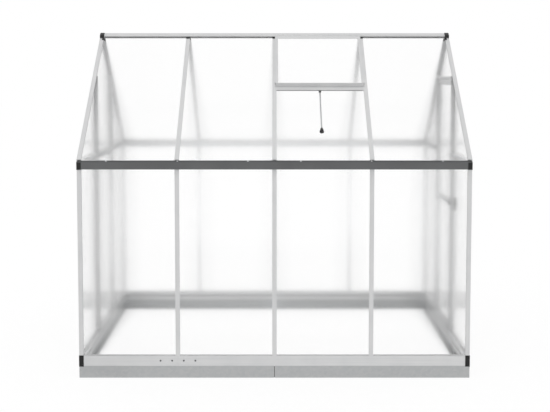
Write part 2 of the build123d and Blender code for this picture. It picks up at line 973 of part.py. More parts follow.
def stay_grip():
    """The black grip: a cone that widens to a bevelled end."""
    wide = grip_width / 2
    outline = [
        (0, 0),
        (grip_neck / 2, 0),
        (wide, grip_length - grip_bevel),
        (wide - grip_bevel, grip_length),
        (0, grip_length),
    ]
    grip = revolve(Plane.XZ * drawing(outline), axis=Axis.Z)
    grip -= Pos(0, 0, grip_socket / 2) * Cylinder(stay_rod / 2 + socket_gap, grip_socket)
    return stay_axis(stay_s + stay_length - grip_length) * grip


# Door

def door_plane(y, z):
    """On the right gable's outer face: X to the back, Y inwards, Z up."""
    return Plane(origin=(end_x, y, z), x_dir=(0, 1, 0), z_dir=(0, 0, 1))


hinge_x = end_x + hinge_stand + hinge_barrel / 2
hinge_y = door_half + door_gap / 2
latch_y = -door_half + core / 2
latch_bore = spindle / 2 + pin_gap
door_run = door_top - door_bottom


def hinge_stile():
    section = drawing([(-w, d) for w, d in stile_outline()], [(-w, d) for w, d in stile_hollow()])
    return bar(section, door_plane(door_half, door_bottom), door_run)


def latch_stile():
    """The stile at the free edge, with the lip that closes on the jamb's face."""
    outer = -door_lip_sheet - door_lip_gap
    lip = [
        (-door_lip, outer),
        (door_lip_root, outer),
        (door_lip_root, 0),
        (0, 0),
        (0, -door_lip_gap),
        (-door_lip, -door_lip_gap),
    ]
    section = drawing(stile_outline(), stile_hollow()) + drawing(lip)
    stile = bar(section, door_plane(-door_half, door_bottom), door_run)
    bore = Plane(origin=(end_x - 2 * door_depth, latch_y, mid_rail_height), z_dir=(1, 0, 0))
    return stile - bar(Circle(latch_bore), bore, 4 * door_depth)


def door_end_rail(edge, up):
    """The top or bottom rail: edge is its outer edge, up is the way to the door's middle."""
    half = door_half - face
    along = Plane(origin=(end_x, -half, edge), x_dir=(0, 0, -1), z_dir=(0, 1, 0))
    outline = [(-w * up, d) for w, d in stile_outline()]
    hollow = [(-w * up, d) for w, d in stile_hollow()]
    return bar(drawing(outline, hollow), along, 2 * half)


def door_mid_rail():
    half = door_half - face
    along = Plane(origin=(end_x, -half, mid_rail_height), x_dir=(0, 0, -1), z_dir=(0, 1, 0))
    return bar(drawing(stud_outline(door_depth, False)), along, 2 * half)


def door_panel(low, high):
    half = door_half - core - edge_gap
    return block((end_x - sheet_in, -half, low), (end_x - sheet_out, half, high))


hinge_heights = [door_bottom + hinge_inset, mid_rail_height, door_top - hinge_inset]


def hinge_plate(side, z):
    """A hinge's flat leaf: side is 1 on the jamb and -1 on the door."""
    near = hinge_y + side * (hinge_barrel / 2 + leaf_gap)
    far = near + side * hinge_leaf
    low = (end_x, min(near, far), z - hinge_height / 2)
    return block(low, (end_x + hinge_sheet, max(near, far), z + hinge_height / 2))


def hinge_strap(side, low, high):
    """What joins a leaf to its barrel."""
    reach = hinge_y + side * (hinge_barrel / 2 + leaf_gap)
    return block((end_x, min(hinge_y, reach), low), (end_x + hinge_sheet, max(hinge_y, reach), high))


def jamb_hinge(z):
    """The fixed half of a lift-off hinge: leaf, lower barrel and the pin that stands in it."""
    half = hinge_height / 2
    axis = Plane(origin=(hinge_x, hinge_y, z - half))
    leaf = hinge_plate(1, z) + hinge_strap(1, z - half, z)
    leaf += bar(Circle(hinge_barrel / 2), axis, half)
    return leaf + bar(Circle(hinge_pin / 2), axis, hinge_height - hinge_sheet)


def door_hinge(z):
    """The half that lifts off with the door: leaf and upper barrel."""
    half = hinge_height / 2
    axis = Plane(origin=(hinge_x, hinge_y, z + barrel_gap))
    leaf = hinge_plate(-1, z) + hinge_strap(-1, z + barrel_gap, z + half)
    leaf += bar(Circle(hinge_barrel / 2), axis, half - barrel_gap)
    return leaf - bar(Circle(hinge_pin / 2 + pin_gap), axis, half)


def door_latch():
    """The turn latch: handle outside, spindle through the stile, tongue behind the jamb."""
    inner = end_x - depth - tongue_gap - tongue_sheet
    outer = end_x + door_lip_sheet + door_lip_gap + boss_gap
    facing = Plane(origin=(inner, latch_y, mid_rail_height), x_dir=(0, 1, 0), z_dir=(1, 0, 0))
    front = Plane(origin=(outer, latch_y, mid_rail_height), x_dir=(0, 1, 0), z_dir=(1, 0, 0))
    raised = Plane(origin=(outer + handle_stand, latch_y, mid_rail_height), x_dir=(0, 1, 0), z_dir=(1, 0, 0))
    latch = bar(Circle(spindle / 2), facing, outer + handle_stand - inner)
    tongue_run = latch_tongue + tongue_width / 2
    tongue = Pos(0, (latch_tongue - tongue_width / 2) / 2) * SlotOverall(
        tongue_run, tongue_width, rotation=90
    )
    latch += bar(tongue, facing, tongue_sheet)
    latch += bar(Circle(handle_boss / 2), front, handle_stand)
    lever = bar(SlotOverall(handle_length, handle_width, rotation=90), raised, handle_depth)
    rim = lever.faces().sort_by(Axis.X)[-1].edges()
    return latch + chamfer(rim, handle_depth / 4)


# The pieces, each under its own name

def four_corners(piece):
    """A front left corner's piece at all four corners."""
    right = mirror(piece, about=Plane.YZ)
    return [piece, right, turned(piece), turned(right)]


def both_slopes(pieces):
    return pieces + [turned(piece) for piece in pieces]


lines = [face / 2 - end_x] + long_lines
plain_start = lip_root + edge_gap
short_start = crossbar_end - bite
front_starts = [plain_start] * long_bays
front_starts[bays_before_vent] = short_start
front_roof = [roof_panel(x, start) for x, start in zip(lines, front_starts)]
back_roof = [turned(roof_panel(x, plain_start)) for x in lines]
posts = four_corners(corner_post())
left_front_rafter = end_rafter()
right_front_rafter = mirror(left_front_rafter, about=Plane.YZ)
end_plug = end_rafter_plug()
left_studs = [gable_stud(y) for y in end_lines]
side_panels = [gable_side_panel(), mirror(gable_side_panel(), about=Plane.XZ)]
sill_left = sill_depth - end_x
seam = long_lines[0]
short_sill = sill_side(sill_left, seam - sill_seam / 2)
long_sill = sill_side(seam + sill_seam / 2, -sill_left)
base_left = base_side(-end_x, -base_seam / 2)
base_right = base_side(base_seam / 2, end_x)
eave_inner = side_y - eave_depth
right_tie = turned(gable_tie(-eave_inner, -jamb_y + face / 2))
other_tie = turned(gable_tie(jamb_y - face / 2, eave_inner))
mid_up = mid_rail_height + face / 2 - bite
mid_down = mid_rail_height - face / 2 + bite
door_edge = core + edge_gap

nodes = {
    "base_front_left": [base_left],
    "base_front_right": [base_right],
    "base_back_left": [turned(base_right)],
    "base_back_right": [turned(base_left)],
    "base_left_end": [base_end()],
    "base_door_end": [turned(base_end())],
    "base_splice_plates": both_slopes([base_splice()]),
    "base_corner_angles": four_corners(base_angle()),
    "sill_front_short": [short_sill],
    "sill_front_long": [long_sill],
    "sill_back_short": [turned(short_sill)],
    "sill_back_long": [turned(long_sill)],
    "sill_left_end": [sill_end()],
    "door_threshold": [turned(sill_end())],
    "sill_splices": both_slopes([sill_splice()]),
    "sill_corner_caps": four_corners(sill_cap()),
    "corner_post_front_left": [posts[0]],
    "corner_post_front_right": [posts[1]],
    "corner_post_back_right": [posts[2]],
    "corner_post_back_left": [posts[3]],
    "front_studs": [wall_stud(x) for x in long_lines],
    "back_studs": [turned(wall_stud(x)) for x in long_lines],
    "left_gable_studs": left_studs,
    "door_jamb_front": [turned(left_studs[1])],
    "door_jamb_back": [turned(left_studs[0])],
    "eave_beam_front": [eave_beam()],
    "eave_beam_back": [turned(eave_beam())],
    "eave_end_plugs": four_corners(eave_end_plug()),
    "gutter_front": [gutter()],
    "gutter_back": [turned(gutter())],
    "gutter_end_caps": four_corners(gutter_cap()),
    "gable_ties": [gable_tie(-eave_inner, eave_inner), right_tie, other_tie],
    "door_header": [door_header()],
    "ridge_beam": [ridge_beam()],
    "ridge_end_caps": [ridge_end_cap(), turned(ridge_end_cap())],
    "left_end_rafters": [left_front_rafter, turned(right_front_rafter)],
    "right_end_rafters": [right_front_rafter, turned(left_front_rafter)],
    "front_rafters": [rafter(x) for x in long_lines],
    "back_rafters": [turned(rafter(x)) for x in long_lines],
    "rafter_top_plugs": both_slopes([rafter_plug(x) for x in long_lines]) + four_corners(end_plug),
    "front_wall_panels": [wall_panel(x) for x in lines],
    "back_wall_panels": [turned(wall_panel(x)) for x in lines],
    "front_roof_panels": front_roof,
    "back_roof_panels": back_roof,
    "left_gable_panels": side_panels + [gable_middle_panel(sill_top - bite)],
    "right_gable_panels": [turned(piece) for piece in side_panels + [gable_middle_panel(header_top - bite)]],
    "vent_crossbar": [vent_crossbar()],
    "stay_clip": [stay_clip()],
    "jamb_hinge_leaves": [jamb_hinge(z) for z in hinge_heights],
    "vent_hinge_rail": [vent_hinge_rail()],
    "vent_side_rails": [vent_side_rail(), across_vent(vent_side_rail())],
    "vent_bottom_rail": [vent_bottom_rail()],
    "vent_panel": [vent_panel()],
    "stay_rod": [stay_arm()],
    "stay_grip": [stay_grip()],
    "door_stiles": [hinge_stile(), latch_stile()],
    "door_rails": [door_end_rail(door_bottom, 1), door_end_rail(door_top, -1), door_mid_rail()],
    "door_panels": [door_panel(door_bottom + door_edge, mid_down), door_panel(mid_up, door_top - door_edge)],
    "door_hinge_leaves": [door_hinge(z) for z in hinge_heights],
    "door_latch": [door_latch()],
}

os.makedirs("parts", exist_ok=True)
for name, pieces in nodes.items():
    export_step(Compound(children=[solid for piece in pieces for solid in piece.solids()]), f"parts/{name}.step")
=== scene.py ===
# %% [markdown]
# A small garden greenhouse: aluminium bars, twin-wall panels, a steel base, gutters at the eaves, a
# door in the right gable and a vent in the front slope. The CAD solids already have every main
# shape, so this lesson keeps them where they are.

# %% Load the frame
import json
import math

import bmesh
import bpy
import mathutils
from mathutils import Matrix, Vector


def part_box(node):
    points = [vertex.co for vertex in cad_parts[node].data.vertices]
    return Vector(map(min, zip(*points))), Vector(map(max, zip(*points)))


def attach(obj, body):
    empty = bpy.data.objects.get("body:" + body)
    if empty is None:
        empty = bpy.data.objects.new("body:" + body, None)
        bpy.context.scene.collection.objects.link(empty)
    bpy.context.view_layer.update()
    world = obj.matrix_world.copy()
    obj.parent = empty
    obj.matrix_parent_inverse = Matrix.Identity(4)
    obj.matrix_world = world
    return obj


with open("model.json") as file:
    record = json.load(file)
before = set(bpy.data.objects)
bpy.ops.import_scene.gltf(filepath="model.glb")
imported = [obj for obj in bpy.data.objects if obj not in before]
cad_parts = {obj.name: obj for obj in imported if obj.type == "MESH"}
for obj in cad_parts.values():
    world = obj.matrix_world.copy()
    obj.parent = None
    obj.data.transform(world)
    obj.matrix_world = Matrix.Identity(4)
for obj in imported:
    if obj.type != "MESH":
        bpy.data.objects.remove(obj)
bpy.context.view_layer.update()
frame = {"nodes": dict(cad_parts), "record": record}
nodes = frame["nodes"]
scene = bpy.context.scene
scene.view_settings.view_transform = "Standard"
print("pieces from the CAD model:", len(nodes))

# %% [markdown]
# The photograph looks straight at the long side from above eye height, and its upright bars stay
# nearly parallel. A camera that only tilts down would make them lean, and one that only slides its
# lens down would cut the other views, so this one shares the work: a small tilt and a small shift.
# Its place and lens come from a fit to the bays, the gutter and the ridge.

# %% Camera
camera_place = (0.0, -7.151, 1.948)  # metres
camera_tilt = 4.04        # degrees below level
camera_lens = 65.59       # mm
camera_sensor = 36.0      # mm across
camera_slide = (0.001, -0.12)  # shares of the picture's width

bpy.ops.object.camera_add(location=camera_place, rotation=(math.radians(90 - camera_tilt), 0, 0))
camera = bpy.context.object
camera.name = "photo_camera"
camera.data.lens = camera_lens
camera.data.sensor_width = camera_sensor
camera.data.shift_x, camera.data.shift_y = camera_slide
scene.camera = camera
print("camera lens", camera.data.lens, "mm, shift", camera_slide)

# %% [markdown]
# Every colour below is written as it would be in a paint program, in sRGB hex. Shaders work in
# linear light, so one function turns the one into the other. One more adds a node to a tree, with
# its settings, its plain values and its links, which keeps each material readable as a short list.

# %% Colours and nodes
def linear(colour):
    """A colour in sRGB hex, as the linear values that shaders work in."""
    parts = [int(colour[i:i + 2], 16) / 255 for i in (1, 3, 5)]
    return [c / 12.92 if c <= 0.04045 else ((c + 0.055) / 1.055) ** 2.4 for c in parts] + [1.0]


def add_node(tree, kind, sockets=None, **settings):
    """Adds a node: settings are its options, and sockets are values or the outputs to link."""
    node = tree.nodes.new(kind)
    for name, value in settings.items():
        setattr(node, name, value)
    for name, value in (sockets or {}).items():
        if isinstance(value, bpy.types.NodeSocket):
            tree.links.new(value, node.inputs[name])
        else:
            node.inputs[name].default_value = value
    return node


def new_material(name):
    """A material with an empty tree, and that tree."""
    material = bpy.data.materials.new(name)
    material.use_nodes = True
    material.node_tree.nodes.clear()
    return material, material.node_tree


print("#808080 in linear light:", linear("#808080"))

# %% [markdown]
# The picture is white all round, as in a catalogue. A light tent does that with white cloth on
# every side. Here the world is the cloth, which lights the object softly from all round. A picture
# of a real studio would give livelier reflections, but it is a file from outside, and the
# photograph shows plain white.

# %% White cloth all round
white = linear("#FFFFFF")
tent_light = 1.0          # at 1, white cloth renders as plain white

world = bpy.data.worlds.new("white_cloth")
world.use_nodes = True
world.node_tree.nodes.clear()
scene.world = world
tree = world.node_tree
cloth = add_node(tree, "ShaderNodeBackground", {"Color": white, "Strength": tent_light})
add_node(tree, "ShaderNodeOutputWorld", {"Surface": cloth.outputs[0]})
print("white cloth at strength", tent_light)

# %% [markdown]
# The tent's floor is a real plane, so that the object stands on something and casts a shadow. Pale
# paint alone would come out grey beside the cloth. So where the camera looks at it, also through a
# panel or in a metal skin, the floor glows white and keeps only a little of the shadow. All other
# light meets the paint.

# %% Studio floor
floor_size = 90.0         # metres, so that its edge is lost in the white
floor_drop = 0.0005       # metres below the base's underside, so that the two don't coincide
floor_shadow = 0.08       # share of the floor's look that takes shadow

floor_paint, tree = new_material("white_studio_floor")
path = add_node(tree, "ShaderNodeLightPath").outputs
seen = path["Is Camera Ray"]
for ray in ("Is Glossy Ray", "Is Transmission Ray"):
    either = add_node(tree, "ShaderNodeMath", {0: seen, 1: path[ray]}, operation="MAXIMUM")
    seen = either.outputs[0]
matt = add_node(tree, "ShaderNodeBsdfDiffuse", {"Color": linear("#E6E6E6")})
bright = add_node(tree, "ShaderNodeBsdfDiffuse", {"Color": white})
glow = add_node(tree, "ShaderNodeEmission", {"Color": white, "Strength": 1.0})
look = add_node(tree, "ShaderNodeMixShader", {0: floor_shadow, 1: glow.outputs[0], 2: bright.outputs[0]})
mixed = add_node(tree, "ShaderNodeMixShader", {0: seen, 1: matt.outputs[0], 2: look.outputs[0]})
add_node(tree, "ShaderNodeOutputMaterial", {"Surface": mixed.outputs[0]})

bpy.ops.object.select_all(action="DESELECT")
bpy.ops.mesh.primitive_plane_add(size=floor_size, location=(0, 0, -floor_drop))
floor = bpy.context.object
floor.name = "studio_floor"
floor.data.materials.append(floor_paint)
print("floor", floor_size, "m across")

# %% [markdown]
# One wide lamp, high on the front left, gives the bars a little form. A small lamp would do so too,
# with hard shadows. Another wide one hangs inside, faces the back wall and lifts its bars, which are
# seen through the panels. The camera sees neither it nor its glare, because rays from the camera or
# through a panel pass it by.

# %% Lamps
lamp_place = (-3.6, -6.0, 6.2)
lamp_size = 4.5           # metres
lamp_power = 70.0         # watts
fill_place = (0.0, 0.0, 0.75)
fill_size = (2.4, 0.8)    # metres
fill_power = 6.0          # watts

bpy.ops.object.light_add(type="AREA", location=lamp_place)
lamp = bpy.context.object
lamp.name = "wide_lamp"
lamp.data.size = lamp_size
lamp.data.energy = lamp_power
lamp.rotation_euler = (-lamp.location).to_track_quat("-Z", "Y").to_euler()

bpy.ops.object.light_add(type="AREA", location=fill_place, rotation=(math.radians(90), 0, 0))
fill = bpy.context.object
fill.name = "fill_lamp"
fill.data.shape = "RECTANGLE"
fill.data.size, fill.data.size_y = fill_size
fill.data.energy = fill_power
fill.visible_camera = False
fill.visible_transmission = False
print("lamp", lamp_power, "W over", lamp_size, "m, fill", fill_power, "W")

# %% [markdown]
# The bars are extruded aluminium with a satin anodised skin: pale, soft in its reflections, with
# faint lines along the bar where the die has drawn them. The lines run with each bar, so the same
# recipe is made four times: for bars along X, along Y, upright, and down the slopes. The two slopes
# share one recipe because Y is folded over the ridge first. Noise patterns give the lines, and the
# faint clouds that the anodising bath leaves. Nearly all of their values lie between two levels,
# here and in later finishes, so a tone goes from its one end at the low level to its other end at
# the high one.

# %% Anodised aluminium
noise_low = 0.3
noise_high = 0.7
roof_pitch = math.radians(41.0)
die_line = 0.005          # metres across; real ones are 1 mm, drawn coarser so that they show
die_run = 0.6             # metres along
die_depth = 0.00004       # metres
mark_size = 0.12          # metres across a cloud
mark_share = 0.35         # of the clouds in the tone, and the rest is the lines


def anodised_aluminium(name, run, turn=0.0, folded=False):
    """Satin aluminium whose die lines run along the axis run, after a turn about X."""
    material, tree = new_material(name)
    place = add_node(tree, "ShaderNodeTexCoord").outputs["Object"]
    if folded:
        part = add_node(tree, "ShaderNodeSeparateXYZ", {0: place})
        flat = add_node(tree, "ShaderNodeMath", {0: part.outputs["Y"]}, operation="ABSOLUTE")
        front = add_node(tree, "ShaderNodeMath", {0: flat.outputs[0], 1: -1.0}, operation="MULTIPLY")
        place = add_node(
            tree,
            "ShaderNodeCombineXYZ",
            {"X": part.outputs["X"], "Y": front.outputs[0], "Z": part.outputs["Z"]},
        ).outputs[0]
    stretch = [die_run if axis == run else die_line for axis in "XYZ"]
    along = add_node(
        tree,
        "ShaderNodeMapping",
        {"Vector": place, "Rotation": (turn, 0, 0), "Scale": stretch},
        vector_type="TEXTURE",
    )
    lines = add_node(tree, "ShaderNodeTexNoise", {"Vector": along.outputs[0], "Scale": 1.0, "Detail": 2.0})
    bath = add_node(tree, "ShaderNodeTexNoise", {"Vector": place, "Scale": 1 / mark_size, "Detail": 2.0})
    both = add_node(
        tree,
        "ShaderNodeMix",
        {"Factor": mark_share, "A": lines.outputs[0], "B": bath.outputs[0]},
    )
    tone = add_node(tree, "ShaderNodeValToRGB", {0: both.outputs[0]})
    tone.color_ramp.elements[0].position = noise_low
    tone.color_ramp.elements[0].color = linear("#CBCCCD")
    tone.color_ramp.elements[1].position = noise_high
    tone.color_ramp.elements[1].color = linear("#DADADA")
    gloss = add_node(
        tree,
        "ShaderNodeMapRange",
        {
            "Value": lines.outputs[0],
            "From Min": noise_low,
            "From Max": noise_high,
            "To Min": 0.36,
            "To Max": 0.5,
        },
    )
    ridges = add_node(
        tree,
        "ShaderNodeBump",
        {"Height": lines.outputs[0], "Distance": die_depth, "Strength": 0.6},
    )
    skin = add_node(
        tree,
        "ShaderNodeBsdfPrincipled",
        {
            "Base Color": tone.outputs[0],
            "Metallic": 0.9,
            "Roughness": gloss.outputs[0],
            "Normal": ridges.outputs[0],
        },
    )
    add_node(tree, "ShaderNodeOutputMaterial", {"Surface": skin.outputs[0]})
    return material


aluminium_x = anodised_aluminium("anodised_aluminium_along_x", "X")
aluminium_y = anodised_aluminium("anodised_aluminium_along_y", "Y")
aluminium_z = anodised_aluminium("anodised_aluminium_upright", "Z")
aluminium_slope = anodised_aluminium("anodised_aluminium_down_slope", "Y", roof_pitch, folded=True)
print("die lines", die_line * 1000, "mm apart")

# %% [markdown]
# The base is folded from hot-dip galvanised sheet. Zinc freezes in flat crystals, the spangle, each
# a slightly different grey. Cells from a Voronoi pattern, with a random grey to each, give that.
# Such cells have straight edges, so a noise pattern bends them a little first.

# %% Galvanised steel
spangle_size = 0.016      # metres; a coarse spangle
wander_size = 0.02        # metres between bends in the crystals' edges
wander_share = 0.008      # moves those edges by a millimetre or two

galvanised, tree = new_material("galvanised_steel")
place = add_node(tree, "ShaderNodeTexCoord").outputs["Object"]
wander = add_node(tree, "ShaderNodeTexNoise", {"Vector": place, "Scale": 1 / wander_size, "Detail": 2.0})
bent = add_node(
    tree,
    "ShaderNodeMix",
    {"Factor": wander_share, "A": place, "B": wander.outputs["Color"]},
    data_type="VECTOR",
)
crystals = add_node(
    tree,
    "ShaderNodeTexVoronoi",
    {"Vector": bent.outputs["Result"], "Scale": 1 / spangle_size},
)
grey = add_node(tree, "ShaderNodeSeparateColor", {0: crystals.outputs["Color"]})
tone = add_node(tree, "ShaderNodeValToRGB", {0: grey.outputs[0]})
tone.color_ramp.elements[0].color = linear("#B3B5B6")
tone.color_ramp.elements[1].color = linear("#B9BABA")
gloss = add_node(tree, "ShaderNodeMapRange", {"Value": grey.outputs[1], "To Min": 0.48, "To Max": 0.52})
skin = add_node(
    tree,
    "ShaderNodeBsdfPrincipled",
    {"Base Color": tone.outputs[0], "Metallic": 0.9, "Roughness": gloss.outputs[0]},
)
add_node(tree, "ShaderNodeOutputMaterial", {"Surface": skin.outputs[0]})
print("spangle", spangle_size * 1000, "mm")

# %% [markdown]
# The thin rod, the hinges and the hidden plates are zinc-plated steel. Plating has no spangle. It is
# smooth, with small scuffs from handling, and a fine noise pattern gives those. The small screws
# have the same plating, newer and paler, so one function makes both.

# %% Zinc-plated steel
rub_size = 0.004          # metres across a scuff


def zinc_plating(name, dark, light, metal):
    """Zinc plating with fine scuffs, between two tones."""
    material, tree = new_material(name)
    place = add_node(tree, "ShaderNodeTexCoord").outputs["Object"]
    rubs = add_node(tree, "ShaderNodeTexNoise", {"Vector": place, "Scale": 1 / rub_size, "Detail": 3.0})
    tone = add_node(tree, "ShaderNodeValToRGB", {0: rubs.outputs[0]})
    tone.color_ramp.elements[0].position = noise_low
    tone.color_ramp.elements[0].color = linear(dark)
    tone.color_ramp.elements[1].position = noise_high
    tone.color_ramp.elements[1].color = linear(light)
    gloss = add_node(
        tree,
        "ShaderNodeMapRange",
        {
            "Value": rubs.outputs[0],
            "From Min": noise_low,
            "From Max": noise_high,
            "To Min": 0.28,
            "To Max": 0.42,
        },
    )
    skin = add_node(
        tree,
        "ShaderNodeBsdfPrincipled",
        {"Base Color": tone.outputs[0], "Metallic": metal, "Roughness": gloss.outputs[0]},
    )
    add_node(tree, "ShaderNodeOutputMaterial", {"Surface": skin.outputs[0]})
    return material


zinc_plated = zinc_plating("zinc_plated_steel", "#B0B2B4", "#C2C3C4", 1.0)
bright_zinc = zinc_plating("bright_zinc_screws", "#EEEFF0", "#F6F6F7", 0.1)
print("scuffs", rub_size * 1000, "mm")

# %% [markdown]
# The seams in the base show as dark lines, because the narrow gap of each seam lies in shade. That
# shade is painted here: the plates behind the seams start as a copy of the zinc plating, and the face
# of each that looks outwards is painted a flat near black. There the normal and the place, seen from
# the middle of the greenhouse, point the same way, so their product is that face's distance, about
# 0.93 m. On the plate's other faces it is far less.

# %% Painted seam shade on the splice plates
painted_shade_from = 0.9         # metres from the middle, past which a face gets the painted shade
# painted shade: the near black that stands in for the shade in the seams' gaps
seam_shade_colour = linear("#2C2C2C")

zinc_with_painted_shade = zinc_plated.copy()
zinc_with_painted_shade.name = "zinc_plate_with_painted_seam_shade"
tree = zinc_with_painted_shade.node_tree
skin = next(node for node in tree.nodes if node.type == "BSDF_PRINCIPLED")
plating = skin.inputs["Base Color"].links[0].from_socket
face = add_node(tree, "ShaderNodeTexCoord").outputs
outwards = add_node(
    tree,
    "ShaderNodeVectorMath",
    {0: face["Normal"], 1: face["Object"]},
    operation="DOT_PRODUCT",
)
bare = add_node(
    tree,
    "ShaderNodeMath",
    {0: outwards.outputs["Value"], 1: painted_shade_from},
    operation="LESS_THAN",
)
tone = add_node(
    tree,
    "ShaderNodeMix",
    {"Factor": bare.outputs[0], "A": seam_shade_colour, "B": plating},
    data_type="RGBA",
)
tree.links.new(tone.outputs["Result"], skin.inputs["Base Color"])
tree.links.new(bare.outputs[0], skin.inputs["Metallic"])
print("mastic on", zinc_with_painted_shade.name)

# %% [markdown]
# The gutters are rolled aluminium with a dark grey powder coat. Baked powder flows into a slight
# orange peel, a few millimetres from crest to crest. A noise pattern of that size drives the bump,
# and a much larger one clouds the tone, as dust does.

# %% Powder coat
peel_size = 0.004         # metres
peel_depth = 0.0001       # metres
dust_size = 0.2           # metres across a cloud

powder_coat, tree = new_material("dark_grey_powder_coat")
place = add_node(tree, "ShaderNodeTexCoord").outputs["Object"]
peel = add_node(tree, "ShaderNodeTexNoise", {"Vector": place, "Scale": 1 / peel_size, "Detail": 1.0})
dust = add_node(tree, "ShaderNodeTexNoise", {"Vector": place, "Scale": 1 / dust_size, "Detail": 3.0})
tone = add_node(tree, "ShaderNodeValToRGB", {0: dust.outputs[0]})
tone.color_ramp.elements[0].position = noise_low
tone.color_ramp.elements[0].color = linear("#5A5B5C")
tone.color_ramp.elements[1].position = noise_high
tone.color_ramp.elements[1].color = linear("#616263")
waves = add_node(
    tree,
    "ShaderNodeBump",
    {"Height": peel.outputs[0], "Distance": peel_depth, "Strength": 0.5},
)
skin = add_node(
    tree,
    "ShaderNodeBsdfPrincipled",
    {
        "Base Color": tone.outputs[0],
        "Roughness": 0.5,
        "Specular IOR Level": 0.35,
        "Normal": waves.outputs[0],
    },
)
add_node(tree, "ShaderNodeOutputMaterial", {"Surface": skin.outputs[0]})
print("orange peel", peel_size * 1000, "mm")

# %% [markdown]
# The caps, plugs, clip, grip and door latch are black moulded polypropylene. Their mould was
# spark-eroded, which leaves a fine grain on the plastic, so its highlights are broad and dull. One
# noise pattern gives the grain both its pits and its tones.

# %% Moulded plastic
grain_size = 0.0025       # metres; a real grain is 0.3 mm, drawn coarser so that it shows
grain_depth = 0.0001      # metres

black_plastic, tree = new_material("black_moulded_polypropylene")
place = add_node(tree, "ShaderNodeTexCoord").outputs["Object"]
grain = add_node(tree, "ShaderNodeTexNoise", {"Vector": place, "Scale": 1 / grain_size, "Detail": 2.0})
tone = add_node(tree, "ShaderNodeValToRGB", {0: grain.outputs[0]})
tone.color_ramp.elements[0].position = noise_low
tone.color_ramp.elements[0].color = linear("#131313")
tone.color_ramp.elements[1].position = noise_high
tone.color_ramp.elements[1].color = linear("#1C1C1D")
pits = add_node(
    tree,
    "ShaderNodeBump",
    {"Height": grain.outputs[0], "Distance": grain_depth, "Strength": 0.6},
)
skin = add_node(
    tree,
    "ShaderNodeBsdfPrincipled",
    {
        "Base Color": tone.outputs[0],
        "Roughness": 0.48,
        "Specular IOR Level": 0.35,
        "Normal": pits.outputs[0],
    },
)
add_node(tree, "ShaderNodeOutputMaterial", {"Surface": skin.outputs[0]})
print("grain", grain_size * 1000, "mm")

# %% [markdown]
# A twin-wall panel is two thin skins of polycarbonate with a web every few millimetres. Between two
# webs a skin is nearly flat, and it curves close to them. So part of what lies behind shows through
# plainly, and part is thrown aside across the webs, further the deeper it lies. The solid keeps its
# flat faces here. The shader bends the normals across the flutes, which stand upright in the walls
# and run down the roof, and does so for both skins at once, on the face where light enters. Most of
# the sheet is air, so its index lies between those of air and of the plastic. Bent or hazy skins lose
# light where a ray meets them edge-on, so both effects fade there, as Layer Weight's facing says.

# %% Twin-wall polycarbonate
flute = 0.006             # metres from web to web
bulge = 0.0003            # metres; with it a skin tilts by up to 22 degrees at a web
haze = 0.15               # roughness of a skin that is met straight on
sheet_index = 1.2         # air has 1.0 and polycarbonate has 1.58


def twin_wall(name, across):
    """Clear polycarbonate whose flutes follow each other along the axis across."""
    material, tree = new_material(name)
    place = add_node(tree, "ShaderNodeTexCoord").outputs["Object"]
    part = add_node(tree, "ShaderNodeSeparateXYZ", {0: place})
    count = add_node(tree, "ShaderNodeMath", {0: part.outputs[across], 1: 1 / flute}, operation="MULTIPLY")
    past = add_node(tree, "ShaderNodeMath", {0: count.outputs[0]}, operation="FRACT").outputs[0]
    side = add_node(tree, "ShaderNodeMath", {0: past, 1: 2.0, 2: -1.0}, operation="MULTIPLY_ADD").outputs[0]
    square = add_node(tree, "ShaderNodeMath", {0: side, 1: side}, operation="MULTIPLY").outputs[0]
    curve = add_node(tree, "ShaderNodeMath", {0: square, 1: square}, operation="MULTIPLY").outputs[0]
    leaving = add_node(tree, "ShaderNodeNewGeometry").outputs["Backfacing"]
    entering = add_node(tree, "ShaderNodeMath", {0: 1.0, 1: leaving}, operation="SUBTRACT").outputs[0]
    skin = add_node(tree, "ShaderNodeMath", {0: curve, 1: entering}, operation="MULTIPLY").outputs[0]
    edge_on = add_node(tree, "ShaderNodeLayerWeight").outputs["Facing"]
    plain = add_node(tree, "ShaderNodeMath", {0: 1.0, 1: edge_on}, operation="SUBTRACT").outputs[0]
    blur = add_node(tree, "ShaderNodeMath", {0: plain, 1: haze}, operation="MULTIPLY").outputs[0]
    lens = add_node(tree, "ShaderNodeBump", {"Height": skin, "Distance": bulge, "Strength": plain})
    sheet = add_node(
        tree,
        "ShaderNodeBsdfPrincipled",
        {
            "Base Color": white,
            "Roughness": blur,
            "IOR": sheet_index,
            "Transmission Weight": 1.0,
            "Normal": lens.outputs[0],
        },
    )
    add_node(tree, "ShaderNodeOutputMaterial", {"Surface": sheet.outputs[0]})
    return material


panel_walls = twin_wall("twin_wall_polycarbonate_walls", "X")
panel_gables = twin_wall("twin_wall_polycarbonate_gables", "Y")
print("flutes", flute * 1000, "mm apart")

# %% [markdown]
# Each CAD node now gets its finish. The record already says what every node is made of, so a node's
# slot picks the material, and the bars' direction picks which of the four aluminium recipes it gets.

# %% Finishes on the CAD nodes
finish_of_slot = {
    "galvanised_base": galvanised,
    "zinc_steel": zinc_plated,
    "grey_gutter": powder_coat,
    "black_plastic": black_plastic,
    "clear_panel": panel_walls,
    "aluminium": aluminium_x,
}
upright = ["corner_post", "stud", "jamb", "stile"]
crosswise = ["sill_left_end", "door_threshold", "gable_ties", "door_header", "door_rails"]
sloping = ["rafters", "vent_side_rails"]
gable_panels = ["left_gable_panels", "right_gable_panels", "door_panels"]

slot_of = {part["node"]: part["material_slot"] for part in frame["record"]["subparts"]}
for name, node in nodes.items():
    finish = finish_of_slot[slot_of[name]]
    if finish == aluminium_x:
        if any(word in name for word in upright):
            finish = aluminium_z
        if any(word in name for word in crosswise):
            finish = aluminium_y
        if any(word in name for word in sloping):
            finish = aluminium_slope
    if name in gable_panels:
        finish = panel_gables
    if name == "base_splice_plates":
        finish = zinc_with_painted_shade
    for slot in node.material_slots:
        slot.material = finish
print("finishes given to", len(nodes), "nodes")

